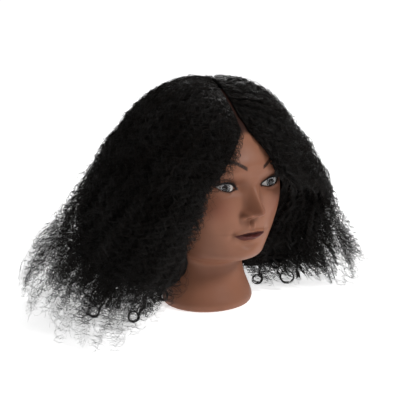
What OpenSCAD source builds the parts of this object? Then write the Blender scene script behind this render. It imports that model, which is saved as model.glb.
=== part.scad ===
// Mannequin training head with rooted curly hair, for hairdressing practice.
// Millimetres. +Z is up and the face looks along -Y. The origin is the centre of the
// neck's resting plane, on the axis of the socket that takes a clamp post.
// Bearings are in degrees round +Z, from 0 at the face to 180 at the back of the head.

/* [Head] */
// Height of the bare head, from the resting plane to the crown
head_h = 288; // [275:1:300]
// Width of the head above the ears
head_w = 150; // [142:1:158]
// Wall of the soft vinyl skin
skin_wall = 3; // [2.5:0.1:3.5]
// Distance between the centres of the eyes
eye_spacing = 66.6; // [64:0.2:72]
// Radius of the acrylic eye domes
eye_r = 16; // [15:0.5:16.5]

/* [Socket] */
// Bore for the clamp post
post_d = 28; // [25:0.5:30]
// Depth of the bore
post_depth = 80; // [60:1:90]
// Wall of the socket tube
socket_wall = 3.5; // [3:0.1:4.5]

/* [Hair] */
// Height of the hair above the crown
hair_lift = 20; // [14:1:34]
// Radius of the hair at the widest place of its hem
hem_r = 248; // [225:1:255]
// Height of the hem above the resting plane
hem_z = 14; // [8:1:40]
// Bearing at which the hair starts beside the face
face_gap = 37; // [35:1:46]

/* [Hidden] */
// Scale of the reference tables below, which describe a head 288 high and 150 wide.
kx = head_w / 150;
kz = head_h / 288;

// Outline of the head by height:
// height, reach to the front, reach to the back, half width, front and back roundness.
SECTIONS = [
    [0, 53, 53, 57, 2, 2],
    [3, 56, 55.5, 60, 2, 2],
    [10, 57.5, 56.5, 61.5, 2, 2],
    [22, 53, 53.5, 57.5, 2, 2],
    [38, 47, 50, 51.5, 2, 2],
    [54, 44, 48.5, 47.5, 2, 2],
    [64, 46.5, 48.5, 46.5, 2, 2],
    [70, 62, 49, 47.5, 1.9, 2],
    [76, 82, 49.5, 50, 2.15, 2],
    [83, 93, 50.5, 52, 2.3, 2],
    [92, 95.5, 52, 56, 2.4, 2],
    [105, 95.5, 55, 61, 2.7, 2],
    [118, 98, 58, 66, 2.8, 2],
    [136, 100, 63, 70.5, 2.95, 2],
    [155, 101.5, 72, 72, 3, 2.05],
    [175, 103, 78, 74, 2.9, 2.05],
    [190, 106.5, 81, 75, 2.6, 2.05],
    [204, 108.5, 82, 75, 2.3, 2],
];
CRANIUM_Z = 204; // the skull is a dome above this height
CRANIUM_H = 84;

// Soft swellings and hollows of the face: x, z, spread in x, spread in z, height.
FORMS = [
    [33, 178, 15, 9, -9],       // eye socket
    [17, 177, 6.5, 8, -5.5],    // inner corner of the eye
    [30, 197, 17, 6, 2.4],      // brow
    [46, 156, 12, 13, 2.5],     // cheekbone
    [41, 130, 11, 13, -2],      // hollow of the cheek
    [0, 118, 18, 13, 2.8],      // fullness round the mouth
    [11.8, 142, 4.2, 4.4, 9],   // wing of the nose
    [0, 102, 14, 4, -2.9],      // fold under the lip
    [0, 90, 14, 7, 3.6],        // chin
    [0, 129, 2.4, 4.5, -1.8],   // groove over the lip
];
// Ridge of the nose: height, forward reach, half width.
NOSE = [
    [130, 0, 8.5], [134, 0.6, 9.4], [138, 9, 10.3], [142, 20, 10], [146, 26, 9.4],
    [150, 26.2, 8.4], [156, 21, 7.6], [163, 14.7, 7], [171, 8.5, 6.6], [179, 3.4, 7], [189, 0, 8.5],
];
LIP_HALF = 23.4;    // half width of the mouth
LIP_Z = 115;        // height of the line between the lips

// Eyes
EYE = [eye_spacing / 2, -80.5, 176.8 * kz];
IRIS_R = 6.6;
GAZE = 10;          // degrees by which the right eye looks outwards
IRIS_T = 0.8;
LID_T = 1.5;        // skin over the eye's dome
LID_HALF = 14.4;    // half width of the eye opening
LID_UP = 5.8;       // rise of the upper lid's edge over the middle of the eye
LID_DOWN = 4.4;     // drop of the lower lid's edge
LID_SLANT = 11;     // degrees by which the eye's outer corner is raised
LASH_L = 8;

// Hair bell below the skull's widest place: height, share of hem_r.
BELL = [
    [0, 1], [14, 1], [30, 0.985], [54, 0.94], [75, 0.885], [96, 0.825], [114, 0.78], [134, 0.735],
    [155, 0.685], [172, 0.64], [188, 0.597], [204, 0.56],
];
BELL_TOP_R = 0.56 * hem_r;
HAIR_GAP = 3;       // between the skull and the hair
FACE_ROOM = 3;      // more room for the hair beside the face and the neck
EAR_ROOM = 10;      // more room for the hair over the ears
PART_HALF = 14;     // half width of the dip in the hair along the parting
TURN = 0.42;        // share of a lock's run that lies over the skull
HAIRLINE_Y = -80;   // front end of the parting
CROWN_Y = 56;       // back end of the line that the locks grow from
DIP_Y = 20;         // behind this the hair closes over the parting
HEM_GAP_IN = 72;    // bearing at which the hem starts, against the neck
HEM_GAP_OUT = 62;   // and at its outer edge
DRAPE = 18;         // degrees by which the hair beside the face falls forward over the forehead
DRAPE_END = 184;    // height at which it has swung back to its own bearing
UNDER_SHARE = 0.5;  // the under layers fill this share of the hair's thickness
UNDER_FROM = 0.3;   // share of the run at which they begin to grow

// Hard parts in the neck
PLATE_T = 6;
FLANGE_R = 30;
FLANGE_T = 3;
SCREW_N = 4;
SCREW_R = 1.75;
SCREW_HEAD_R = 3.6;
SCREW_L = 14;
SCREW_CIRCLE_R = 24.5;
SOCKET_CAP = 5;
RIB_N = 6;
FIT = 0.25;         // clearance round pieces that are glued or screwed in place

// ---- small helpers ----
function clamp01(v) = min(max(v, 0), 1);
function smooth(v) = let (t = clamp01(v)) t * t * (3 - 2 * t);
function mix(a, b, t) = a * (1 - t) + b * t;
function bell_curve(d) = exp(-d * d);

// Column k of a table sorted by its first column, on a smooth curve through its rows.
function row_at(table, v, i = 0) =
    i >= len(table) - 2 || table[i + 1][0] >= v ? i : row_at(table, v, i + 1);
function curve(table, v, k) =
    let (
        i = row_at(table, v),
        n = len(table) - 1,
        a = table[i], b = table[i + 1],
        step = b[0] - a[0],
        before = table[max(i - 1, 0)], after = table[min(i + 2, n)],
        slope_a = (b[k] - before[k]) / (b[0] - before[0]) * step,
        slope_b = (after[k] - a[k]) / (after[0] - a[0]) * step,
        t = clamp01((v - a[0]) / step), t2 = t * t, t3 = t2 * t
    )
    (2 * t3 - 3 * t2 + 1) * a[k] + (t3 - 2 * t2 + t) * slope_a
        + (3 * t2 - 2 * t3) * b[k] + (t3 - t2) * slope_b;

// ---- the head's surface ----
function oval(bearing, reach, half, round_n) =
    pow(pow(abs(sin(bearing)) / half, round_n) + pow(abs(cos(bearing)) / reach, round_n), -1 / round_n);

// Radius of the plain head, without features, at a bearing and a height of the reference head.
function plain_r(bearing, z) =
    let (
        front = cos(bearing) > 0,
        top = z > CRANIUM_Z,
        level = min(z, CRANIUM_Z),
        brow = front ? pow(cos(bearing), 2) : 0, // the forehead slopes back more than the rest
        rise = clamp01((z - CRANIUM_Z) / CRANIUM_H),
        dome = top ? pow(1 - pow(rise, mix(2, 1.5, brow)), mix(0.5, 0.68, brow)) : 1,
        reach = curve(SECTIONS, level, front ? 1 : 2),
        round_n = mix(curve(SECTIONS, level, front ? 4 : 5), 2, smooth((z - CRANIUM_Z) / 25))
    )
    dome * oval(bearing, reach, curve(SECTIONS, level, 3), round_n);

function form_sum(x, z, deep_only) =
    [for (f = FORMS)
        let (w = bell_curve((abs(x) - f[0]) / f[2]) * bell_curve((z - f[1]) / f[3]))
        (deep_only ? min(f[4], 0) * 1.35 : f[4]) * w] * [for (f = FORMS) 1];

function nose(x, z) =
    z < NOSE[0][0] || z > NOSE[len(NOSE) - 1][0] ? 0
    : max(0, curve(NOSE, z, 1)) * exp(-pow(abs(x) / curve(NOSE, z, 2), 2.3));

function lips(x, z) =
    let (
        across = sqrt(max(0, 1 - pow(x / LIP_HALF, 2))),
        line_z = LIP_Z - 1 + 1.6 * pow(x / LIP_HALF, 2)
    )
    4 * across * bell_curve((z - line_z - 4.6) / 3)
        + 5 * across * bell_curve((z - line_z + 4.8) / 3.6)
        - 2.2 * across * bell_curve((z - line_z) / 1.5);

// Ear: a shallow rim round a hollow, at the side of the head.
function ear(bearing, z) =
    let (
        along = (z - 166) / 27,
        across = (bearing - 90 - 5 * along) / (8.5 - 2.5 * along),
        d = sqrt(along * along + across * across)
    )
    9 * smooth((1.15 - d) / 0.35) - 4 * smooth((0.7 - d) / 0.35);

// How far forward the lids lie, where they cover an eye.
function lid_front(x, z) =
    let (r = eye_r + LID_T, d = pow(abs(x) - EYE[0], 2) + pow(z * kz - EYE[2], 2))
    d < r * r ? sqrt(r * r - d) - EYE[1] : 0;
function soft_max(a, b, k) = let (h = clamp01(0.5 + 0.5 * (a - b) / k)) mix(b, a, h) + k * h * (1 - h);

// Point of the head's outer surface.
function skin_point(bearing, z, inset = 0, plain = false) =
    let (
        turn = bearing > 180 ? 360 - bearing : bearing,
        base = plain_r(turn, z),
        x = base * sin(turn),
        face = cos(turn) > 0,
        form = !face ? 0 : plain ? form_sum(x, z, true) : form_sum(x, z, false) + nose(x, z) + lips(x, z),
        r = base + (plain ? 0 : ear(turn, z)) - inset,
        front = r * cos(bearing) + form
    )
    [r * sin(bearing) * kx, -(plain || !face ? front : soft_max(front, lid_front(x, z), 3)), z * kz];

// ---- solids from rings and from patches ----
// A closed solid from rings of equal length, with a point closing each end.
module ring_solid(first, rings, last) {
    n = len(rings[0]);
    m = len(rings);
    points = concat([first], [for (ring = rings) each ring], [last]);
    function at(ring, i) = 1 + ring * n + i % n;
    faces = concat(
        [for (i = [0:n - 1]) [0, at(0, i), at(0, i + 1)]],
        [for (ring = [0:m - 2]) for (i = [0:n - 1]) each [
            [at(ring, i), at(ring + 1, i), at(ring + 1, i + 1)],
            [at(ring, i), at(ring + 1, i + 1), at(ring, i + 1)],
        ]],
        [for (i = [0:n - 1]) [at(m - 1, i), len(points) - 1, at(m - 1, i + 1)]]
    );
    polyhedron(points, faces);
}

// A closed solid between an outer and an inner grid of the same size.
module patch_solid(outer, inner, flip = false) {
    rows = len(outer);
    cols = len(outer[0]);
    points = concat([for (row = outer) each row], [for (row = inner) each row]);
    function out(i, j) = i * cols + j;
    function in(i, j) = rows * cols + i * cols + j;
    function quad(a, b, c, d) = flip ? [[a, c, b], [a, d, c]] : [[a, b, c], [a, c, d]];
    faces = concat(
        [for (i = [0:rows - 2]) for (j = [0:cols - 2])
            each quad(out(i, j), out(i, j + 1), out(i + 1, j + 1), out(i + 1, j))],
        [for (i = [0:rows - 2]) for (j = [0:cols - 2])
            each quad(in(i, j), in(i + 1, j), in(i + 1, j + 1), in(i, j + 1))],
        [for (i = [0:rows - 2]) each concat(
            quad(out(i, 0), out(i + 1, 0), in(i + 1, 0), in(i, 0)),
            quad(out(i, cols - 1), in(i, cols - 1), in(i + 1, cols - 1), out(i + 1, cols - 1))
        )],
        [for (j = [0:cols - 2]) each concat(
            quad(out(0, j), in(0, j), in(0, j + 1), out(0, j + 1)),
            quad(out(rows - 1, j), out(rows - 1, j + 1), in(rows - 1, j + 1), in(rows - 1, j))
        )]
    );
    polyhedron(points, faces);
}

// ---- skin, sealing layer and foam ----
FRONT_CROWDING = 34; // degrees by which the columns crowd towards the face
NECK_ZS = [0, 3, 6, 10, 16, 24, 34, 46, 58, 66];
FACE_ZS = [for (i = [0:41]) 70 + 2.8 * i];
SKULL_ZS = concat(
    [192, 198, 204],
    [for (a = [9, 18, 27, 36, 45, 54, 63, 72, 81, 86]) CRANIUM_Z + CRANIUM_H * sin(a)]
);
INNER_ZS = [
    0, 8, 20, 40, 56, 64, 72, 84, 96, 102, 110, 120, 132, 144, 156, 166, 176, 184, 192,
    204, 220, 236, 252, 266, 276,
];
CROWN = CRANIUM_Z + CRANIUM_H;

function bearings(cols) = [for (i = [0:cols - 1]) let (a = 360 * i / cols) a - FRONT_CROWDING * sin(a)];
function head_ring(z, inset, plain, cols) = [for (b = bearings(cols)) skin_point(b, z, inset, plain)];
function in_crown(inset) = [0, 0, (CROWN - inset) * kz];
function chin_lift(z) = 5 * bell_curve((z - 74) / 12); // keeps the wall's thickness under the chin
function inner_ring(z, inset) =
    [for (p = head_ring(z > CRANIUM_Z ? z - inset * (z - CRANIUM_Z) / CRANIUM_H : z, inset, true, 36))
        p + [0, 0, chin_lift(z)]];
function reversed(list) = [for (i = [len(list) - 1:-1:0]) list[i]];

// Wraps a solid so that it is evaluated as one mesh.
module as_mesh() resize([0, 0, 0]) children();

module at_eye(side) {
    translate([side * EYE[0], EYE[1], EYE[2]]) rotate([0, -side * LID_SLANT, 0]) children();
}

module at_gaze(side) { rotate([0, 0, side < 0 ? -GAZE : 0]) rotate([90, 0, 0]) children(); }

// Opening between the lids: two arcs that meet at the corners of the eye.
function arc_r(rise) = (LID_HALF * LID_HALF + rise * rise) / (2 * rise);
module lid_opening() {
    rotate([90, 0, 0]) linear_extrude(40) intersection() {
        translate([0, LID_UP - arc_r(LID_UP)]) circle(r = arc_r(LID_UP), $fn = 90);
        translate([0, arc_r(LID_DOWN) - LID_DOWN]) circle(r = arc_r(LID_DOWN), $fn = 90);
    }
}

module head_skin() {
    outer = concat(NECK_ZS, FACE_ZS, SKULL_ZS);
    inside = [for (z = INNER_ZS) inner_ring(z, skin_wall)];
    below = [for (p = inside[0]) p - [0, 0, 1]];
    color("sienna") as_mesh() difference() {
        ring_solid([0, 0, 0], [for (z = outer) head_ring(z, 0, false, 64)], [0, 0, CROWN * kz]);
        ring_solid([0, 0, -1], concat([below], inside), in_crown(skin_wall + 1));
        for (side = [-1, 1]) at_eye(side) {
            sphere(r = eye_r + 0.3, $fn = 48);
            lid_opening();
        }
    }
}

SEAL_T = 1.2;
SEAL_GAP = 0.4;
// Lowest height of the rooted scalp at a bearing: the forehead, over the ears, and the nape.
SCALP_EDGE = [[0, 246], [30, 238], [60, 208], [95, 190], [120, 150], [150, 122], [180, 112]];
function scalp_edge(bearing) = curve(SCALP_EDGE, bearing > 180 ? 360 - bearing : bearing, 1);

module root_seal() {
    steps = 9;
    cols = 36;
    top = CROWN - skin_wall - 4;
    function layer(inset) = [for (i = [0:steps]) [for (j = [0:cols])
        let (b = 360 * j / cols, z = mix(scalp_edge(b), top, i / steps))
        skin_point(b, min(z, top - inset), skin_wall + inset, true)]];
    function ring_of(rows) = [for (row = rows) [for (j = [0:cols - 1]) row[j]]];
    color("tan")
        ring_solid(
            in_crown(skin_wall + SEAL_GAP + SEAL_T + 1),
            concat(reversed(ring_of(layer(SEAL_GAP + SEAL_T))), ring_of(layer(SEAL_GAP))),
            in_crown(skin_wall + SEAL_GAP + 1)
        );
}

socket_r = post_d / 2 + socket_wall;
socket_h = post_depth + SOCKET_CAP;
CORE_INSET = skin_wall + SEAL_GAP + SEAL_T + 0.6;

module foam_core() {
    low = PLATE_T + 0.5;
    rings = [for (z = concat([low, 12], [for (z = INNER_ZS) if (z > 15) z])) inner_ring(z, CORE_INSET)];
    color("khaki") as_mesh() difference() {
        ring_solid([0, 0, low * kz], rings, in_crown(CORE_INSET + 1));
        translate([0, 0, -1]) cylinder(r = socket_r + 3 + FIT, h = socket_h + 2, $fn = 36);
    }
}

// ---- base plate, socket and screws ----
module at_screws() {
    for (i = [0:SCREW_N - 1])
        rotate([0, 0, 45 + 360 * i / SCREW_N]) translate([SCREW_CIRCLE_R, 0, 0]) children();
}

module plate_outline() {
    polygon([for (b = [0:10:350]) let (p = skin_point(b, 3, skin_wall + 2.6, true)) [p[0], p[1]]]);
}

module base_plate() {
    color("dimgray") difference() {
        linear_extrude(PLATE_T) plate_outline();
        translate([0, 0, -1]) cylinder(r = socket_r + FIT, h = PLATE_T + 2, $fn = 96);
        translate([0, 0, -1]) cylinder(r = FLANGE_R + FIT, h = FLANGE_T + 1.2, $fn = 96);
        at_screws() cylinder(r = SCREW_R + 0.05, h = PLATE_T + 1, $fn = 24);
    }
}

module post_socket() {
    color("black") difference() {
        union() {
            cylinder(r = FLANGE_R, h = FLANGE_T, $fn = 96);
            cylinder(r = socket_r, h = socket_h, $fn = 96);
            for (i = [0:RIB_N - 1])
                rotate([0, 0, 360 * i / RIB_N])
                    translate([socket_r - 1, -1.25, PLATE_T + 2]) cube([4, 2.5, post_depth - 18]);
        }
        translate([0, 0, -1]) cylinder(d = post_d, h = post_depth + 1, $fn = 96);
        at_screws() {
            translate([0, 0, -1]) cylinder(r = SCREW_R + 0.3, h = 8, $fn = 24);
            translate([0, 0, -0.01])
                cylinder(r1 = SCREW_HEAD_R + 0.3, r2 = SCREW_R + 0.3, h = 2.1, $fn = 24);
        }
    }
}

module base_screws() {
    color("silver") at_screws() {
        translate([0, 0, 0.2]) cylinder(r1 = SCREW_HEAD_R, r2 = SCREW_R, h = 1.9, $fn = 24);
        translate([0, 0, 2]) cylinder(r = SCREW_R, h = SCREW_L - 4, $fn = 24);
        translate([0, 0, SCREW_L - 2]) cylinder(r1 = SCREW_R, r2 = 0.4, h = 2, $fn = 24);
    }
}

// ---- eyes ----
// The dome's flat back lies behind the lids; a shallow seat in front takes the iris and cornea.
module eyeball(side) {
    back = 6;
    color("white") at_eye(side) difference() {
        sphere(r = eye_r, $fn = 64);
        translate([-20, -back, -20]) cube([40, 40, 40]);
        at_gaze(side) translate([0, 0, iris_seat()]) cylinder(r = IRIS_R + 0.1, h = 20, $fn = 64);
    }
}
function iris_seat() = sqrt(eye_r * eye_r - IRIS_R * IRIS_R) - IRIS_T - 0.6;

module iris(side) {
    color("slategray") at_eye(side)
        at_gaze(side) translate([0, 0, iris_seat() + 0.02]) cylinder(r = IRIS_R, h = IRIS_T, $fn = 64);
}

module cornea(side) {
    bulge = 0.6;
    color("lightcyan", 0.4) at_eye(side) intersection() {
        at_gaze(side) translate([0, 0, bulge]) sphere(r = eye_r, $fn = 64);
        at_gaze(side) translate([0, 0, iris_seat() + IRIS_T + 0.04])
            cylinder(r = IRIS_R, h = 20, $fn = 64);
    }
}

// A lash strip follows the lid's edge: a thin fan from the lid outwards and up or down.
module lashes(side, up) {
    steps = 12;
    rise = (up > 0 ? LID_UP : LID_DOWN) - 0.6;
    reach = up > 0 ? LASH_L : LASH_L / 2;
    function lid(u) =
        let (x = u * (LID_HALF - 1.5), z = rise - arc_r(rise) + sqrt(pow(arc_r(rise), 2) - x * x))
        [x, -sqrt(pow(eye_r + 0.5, 2) - x * x - z * z), up * z];
    function tip(u) = lid(u) + [3 * u, -reach * 0.75, up * reach * 0.5];
    function strip(lift) = [
        [for (i = [0:steps]) lid(-1 + 2 * i / steps) + [0, 0, lift]],
        [for (i = [0:steps]) tip(-1 + 2 * i / steps) + [0, 0, lift]],
    ];
    color("black") at_eye(side) patch_solid(strip(0.3), strip(-0.3));
}

// ---- hair ----
// Directions on the unit sphere that the skull and the top of the hair are stretched from.
function slerp(a, b, t) = let (w = acos(a * b)) (sin((1 - t) * w) * a + sin(t * w) * b) / sin(w);

// A lock is named by the bearing at which it hangs off the skull. It leaves the parting at part_dir.
function part_y(bearing) = mix(HAIRLINE_Y, CROWN_Y, clamp01((bearing - face_gap) / (180 - face_gap)));
function part_dir(bearing) = let (c = part_y(bearing) / 94) [0, c, sqrt(1 - c * c)];
function hang_dir(bearing) = [sin(bearing), -cos(bearing), 0];

// Below the skull the locks beside the face swing back, so that the hem leaves the neck free.
function swung(bearing, fall, gap) = bearing + fall * (gap - face_gap) * (180 - bearing) / (180 - face_gap);

function drape(bearing, z) = DRAPE * pow((180 - bearing) / (180 - face_gap), 3)
    * smooth((z - DRAPE_END) / (CRANIUM_Z - DRAPE_END));

function skull_point(dir, out) =
    let (
        b = atan2(dir[0], -dir[1]),
        z = CRANIUM_Z + dir[2] * CRANIUM_H,
        r = plain_r(b, z) + out * (1 - dir[2])
    )
    [r * sin(b) * kx, -r * cos(b), (z + dir[2] * out) * kz];
function hair_top_point(dir) = let (r = BELL_TOP_R * (1 - 0.12 * smooth(dir[2] / 0.35)))
    [dir[0] * r, dir[1] * r, (CRANIUM_Z + dir[2] * (CRANIUM_H + hair_lift)) * kz];
function ear_room(bearing, z) = EAR_ROOM * bell_curve((bearing - 94) / 38) * bell_curve((z - 166) / 42);

// Point of the hair: share s of the run from parting to hem, share t of the thickness.
function hair_point(bearing, s, t) =
    let (
        over = s < TURN,
        dir = slerp(part_dir(bearing), hang_dir(bearing - drape(bearing, CRANIUM_Z)), clamp01(s / TURN)),
        fall = smooth((s - TURN) / (1 - TURN)),
        z = mix(CRANIUM_Z, hem_z / kz, clamp01((s - TURN) / (1 - TURN))),
        b_in = swung(bearing, fall, HEM_GAP_IN) - drape(bearing, z),
        b_out = swung(bearing, fall, HEM_GAP_OUT) - drape(bearing, z),
        r_in = plain_r(b_in, z) + HAIR_GAP + (FACE_ROOM + ear_room(b_in, z)) * smooth((s - TURN) * 8),
        r_out = curve(BELL, z, 1) * hem_r,
        inner = over ? skull_point(dir, HAIR_GAP) : [r_in * sin(b_in) * kx, -r_in * cos(b_in), z * kz],
        outer = over ? hair_top_point(dir) : [r_out * sin(b_out), -r_out * cos(b_out), z * kz],
        dip = over ? 0.93 * bell_curve(inner[0] / PART_HALF) * smooth((DIP_Y - inner[1]) / 50) : 0
    )
    inner + (outer - inner) * t * (1 - dip);

// The run and the bearings are sampled alike in every section, so neighbours stay parallel.
RUN = [0.01, 0.06, 0.12, 0.19, 0.26, 0.33, 0.39, 0.45, 0.52, 0.59, 0.66, 0.73, 0.8, 0.87, 0.94, 1];
HAIR_COLS = 15;
UNDER_ROW = 5;
LAYER_GAP = 0.012;
SECTION_GAP = 0.35; // degrees on each side of a cut between sections
function hair_bearing(col) = mix(face_gap, 180, col / HAIR_COLS);
function under_share(s) = UNDER_SHARE * smooth((s - UNDER_FROM) / 0.3);

module hair_section(side, from, to, under) {
    rows = under ? [for (i = [UNDER_ROW:len(RUN) - 1]) RUN[i]] : RUN;
    function column(j) =
        hair_bearing(j) + (j == from ? SECTION_GAP : j == to && to < HAIR_COLS ? -SECTION_GAP : 0);
    function grid(outer) = [for (s = rows) [for (j = [from:to])
        let (
            cut = under_share(s),
            t = outer ? (under ? cut - LAYER_GAP : 1) : (under ? 0 : cut + LAYER_GAP),
            p = hair_point(column(j), s, t)
        )
        [side * max(p[0], 0.6), p[1], p[2]]]];
    color([0.06, 0.05, 0.05]) patch_solid(grid(true), grid(false), side > 0);
}

module hair_front(side) hair_section(side, 0, 4, false);
module hair_side(side) hair_section(side, 4, 9, false);
module hair_back(side) hair_section(side, 9, HAIR_COLS, false);
module hair_temple(side) hair_section(side, 0, 6, true);
module hair_nape(side) hair_section(side, 6, HAIR_COLS, true);

head_skin();
root_seal();
foam_core();
base_plate();
post_socket();
base_screws();
eyeball(-1);  // right_eyeball
eyeball(1);  // left_eyeball
iris(-1);  // right_iris
iris(1);  // left_iris
cornea(-1);  // right_cornea
cornea(1);  // left_cornea
lashes(-1, 1);  // right_upper_lashes
lashes(1, 1);  // left_upper_lashes
lashes(-1, -1);  // right_lower_lashes
lashes(1, -1);  // left_lower_lashes
hair_front(-1);  // hair_front_right
hair_front(1);  // hair_front_left
hair_side(-1);  // hair_side_right
hair_side(1);  // hair_side_left
hair_back(-1);  // hair_back_right
hair_back(1);  // hair_back_left
hair_temple(-1);  // hair_temple_right
hair_temple(1);  // hair_temple_left
hair_nape(-1);  // hair_nape_right
hair_nape(1);  // hair_nape_left
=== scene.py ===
import math

import bpy
import numpy as np
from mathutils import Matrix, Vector


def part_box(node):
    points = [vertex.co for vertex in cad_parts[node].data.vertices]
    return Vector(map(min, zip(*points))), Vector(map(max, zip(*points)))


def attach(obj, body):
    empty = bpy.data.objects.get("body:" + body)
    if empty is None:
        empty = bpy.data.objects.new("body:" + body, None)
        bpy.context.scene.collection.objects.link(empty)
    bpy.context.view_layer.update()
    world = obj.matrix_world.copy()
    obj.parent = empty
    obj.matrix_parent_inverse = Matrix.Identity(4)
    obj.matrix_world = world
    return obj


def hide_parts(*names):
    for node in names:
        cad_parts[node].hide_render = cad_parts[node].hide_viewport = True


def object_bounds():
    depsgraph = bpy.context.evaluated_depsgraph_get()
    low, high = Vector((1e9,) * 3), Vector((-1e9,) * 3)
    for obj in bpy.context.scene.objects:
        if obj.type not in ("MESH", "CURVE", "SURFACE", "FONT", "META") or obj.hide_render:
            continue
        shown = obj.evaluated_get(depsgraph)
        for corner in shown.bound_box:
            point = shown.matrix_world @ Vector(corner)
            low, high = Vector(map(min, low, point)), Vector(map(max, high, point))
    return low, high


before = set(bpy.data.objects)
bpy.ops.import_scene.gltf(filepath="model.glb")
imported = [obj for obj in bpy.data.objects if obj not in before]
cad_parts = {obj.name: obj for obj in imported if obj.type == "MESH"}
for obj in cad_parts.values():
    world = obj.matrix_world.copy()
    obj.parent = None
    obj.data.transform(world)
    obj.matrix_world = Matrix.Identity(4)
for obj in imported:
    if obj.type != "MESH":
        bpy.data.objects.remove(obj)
CAD_LOW, CAD_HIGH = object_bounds()
MM = 0.001

# ---- sizes taken from the CAD nodes, in millimetres ----
CRANIUM_Z, CRANIUM_H = 204.0, 84.0  # where the skull's dome starts, and its height
CROWN = CRANIUM_Z + CRANIUM_H
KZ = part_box("head_skin")[1].z / MM / CROWN  # the tables below describe a head as high as CROWN
EYE_LOW, EYE_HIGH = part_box("left_eyeball")
EYE_R = 16.0
EYE_X = (EYE_LOW.x + EYE_HIGH.x) / 2 / MM
EYE_Z = (EYE_LOW.z + EYE_HIGH.z) / 2 / MM
EYE_Y = EYE_HIGH.y / MM + 6.0  # the dome's flat back is 6 mm in front of its centre
HEM_R = CAD_HIGH.x / MM
HAIR_TOP = CAD_HIGH.z / MM
HEM_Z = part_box("hair_side_left")[0].z / MM


# ---- small numeric helpers ----
def mix(a, b, t):
    return a * (1 - t) + b * t


def smooth(v):
    t = np.clip(v, 0, 1)
    return t * t * (3 - 2 * t)


def hump(d):
    return np.exp(-d * d)


def curve(table, v, k):
    """Column k of a table sorted by its first column, on a smooth curve through its rows."""
    table = np.asarray(table, float)
    n = len(table) - 1
    v = np.asarray(v, float)
    i = np.clip(np.searchsorted(table[:, 0], v, side="left") - 1, 0, n - 1)
    a, b = table[i], table[i + 1]
    before, after = table[np.maximum(i - 1, 0)], table[np.minimum(i + 2, n)]
    step = b[..., 0] - a[..., 0]
    slope_a = (b[..., k] - before[..., k]) / (b[..., 0] - before[..., 0]) * step
    slope_b = (after[..., k] - a[..., k]) / (after[..., 0] - a[..., 0]) * step
    t = np.clip((v - a[..., 0]) / step, 0, 1)
    t2, t3 = t * t, t * t * t
    return (
        (2 * t3 - 3 * t2 + 1) * a[..., k]
        + (t3 - 2 * t2 + t) * slope_a
        + (3 * t2 - 2 * t3) * b[..., k]
        + (t3 - t2) * slope_b
    )


def soft_max(a, b, k):
    h = np.clip(0.5 + 0.5 * (a - b) / k, 0, 1)
    return mix(b, a, h) + k * h * (1 - h)


def unit(v):
    return v / np.maximum(np.linalg.norm(v, axis=-1, keepdims=True), 1e-12)


# ---- the head's surface ----
# Height, reach to the front, reach to the back, half width, front and back roundness.
SECTIONS = [
    [0, 52, 52, 56, 2, 2],
    [1.2, 54.6, 54.4, 58.6, 2, 2],
    [4, 56.6, 56, 60.6, 2, 2],
    [10, 57.5, 56.5, 61.5, 2, 2],
    [22, 53, 53.5, 57.5, 2, 2],
    [38, 47, 50, 51.5, 2, 2],
    [54, 44, 48.5, 47.5, 2, 2],
    [64, 46.5, 48.5, 46.5, 2, 2],
    [70, 62, 49, 47.5, 1.9, 2],
    [76, 82, 49.5, 50, 2.15, 2],
    [83, 93, 50.5, 52, 2.3, 2],
    [92, 95.5, 52, 56, 2.4, 2],
    [105, 95.5, 55, 61, 2.7, 2],
    [118, 98, 58, 66, 2.8, 2],
    [136, 100, 63, 70.5, 2.95, 2],
    [155, 101.5, 72, 72, 3, 2.05],
    [175, 103, 78, 74, 2.9, 2.05],
    [190, 106.5, 81, 75, 2.6, 2.05],
    [204, 108.5, 82, 75, 2.3, 2],
]

# Soft swellings and hollows of the face: x, z, spread in x, spread in z, height.
FORMS = [
    [33, 178, 15, 9, -9],
    [17, 177, 6.5, 8, -5.5],
    [30, 197, 17, 6, 2.4],
    [46, 156, 12, 13, 2.5],
    [41, 130, 11, 13, -2],
    [0, 118, 18, 13, 2.8],
    [11.8, 142, 4.2, 4.4, 9],
    [0, 102, 14, 4, -2.9],
    [0, 90, 14, 7, 3.6],
    [0, 128.5, 2.1, 4.8, -3.0],
    [3.8, 127.5, 1.6, 5, 1.8],
    [25, 115, 4, 6, -1.6],
]
# Ridge of the nose: height, forward reach, half width.
NOSE = [
    [130, 0, 8.5], [134, 0.6, 9.4], [138, 9, 10.3], [142, 20, 10], [146, 26, 9.4],
    [150, 26.2, 8.4], [156, 21, 7.6], [163, 14.7, 7], [171, 8.5, 6.6], [179, 3.4, 7], [189, 0, 8.5],
]
LIP_HALF, LIP_Z = 23.4, 115.0  # half width of the mouth, and its height
LID_T = 1.5  # skin over the eye's dome
LID_HALF, LID_UP, LID_DOWN = 14.4, 5.8, 4.4  # half width of the opening, and its lids' rise and drop
LID_SLANT = 11.0  # degrees by which the outer corner is raised


def oval(bearing, reach, half, round_n):
    s, c = np.abs(np.sin(bearing)) / half, np.abs(np.cos(bearing)) / reach
    return (s**round_n + c**round_n) ** (-1 / round_n)


def plain_r(bearing, z):
    """Radius of the head without its features, at a bearing in radians and a reference height."""
    front = np.cos(bearing) > 0
    level = np.minimum(z, CRANIUM_Z)
    rise = np.clip((z - CRANIUM_Z) / CRANIUM_H, 0, 1)
    brow = np.where(front, np.cos(bearing) ** 2, 0)
    dome = (1 - rise ** mix(2, 1.5, brow)) ** mix(0.5, 0.68, brow)
    reach = np.where(front, curve(SECTIONS, level, 1), curve(SECTIONS, level, 2))
    round_n = np.where(front, curve(SECTIONS, level, 4), curve(SECTIONS, level, 5))
    round_n = mix(round_n, 2, smooth((z - CRANIUM_Z) / 25))
    return dome * oval(bearing, reach, curve(SECTIONS, level, 3), round_n)


def arc_r(rise):
    return (LID_HALF**2 + rise**2) / (2 * rise)


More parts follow.
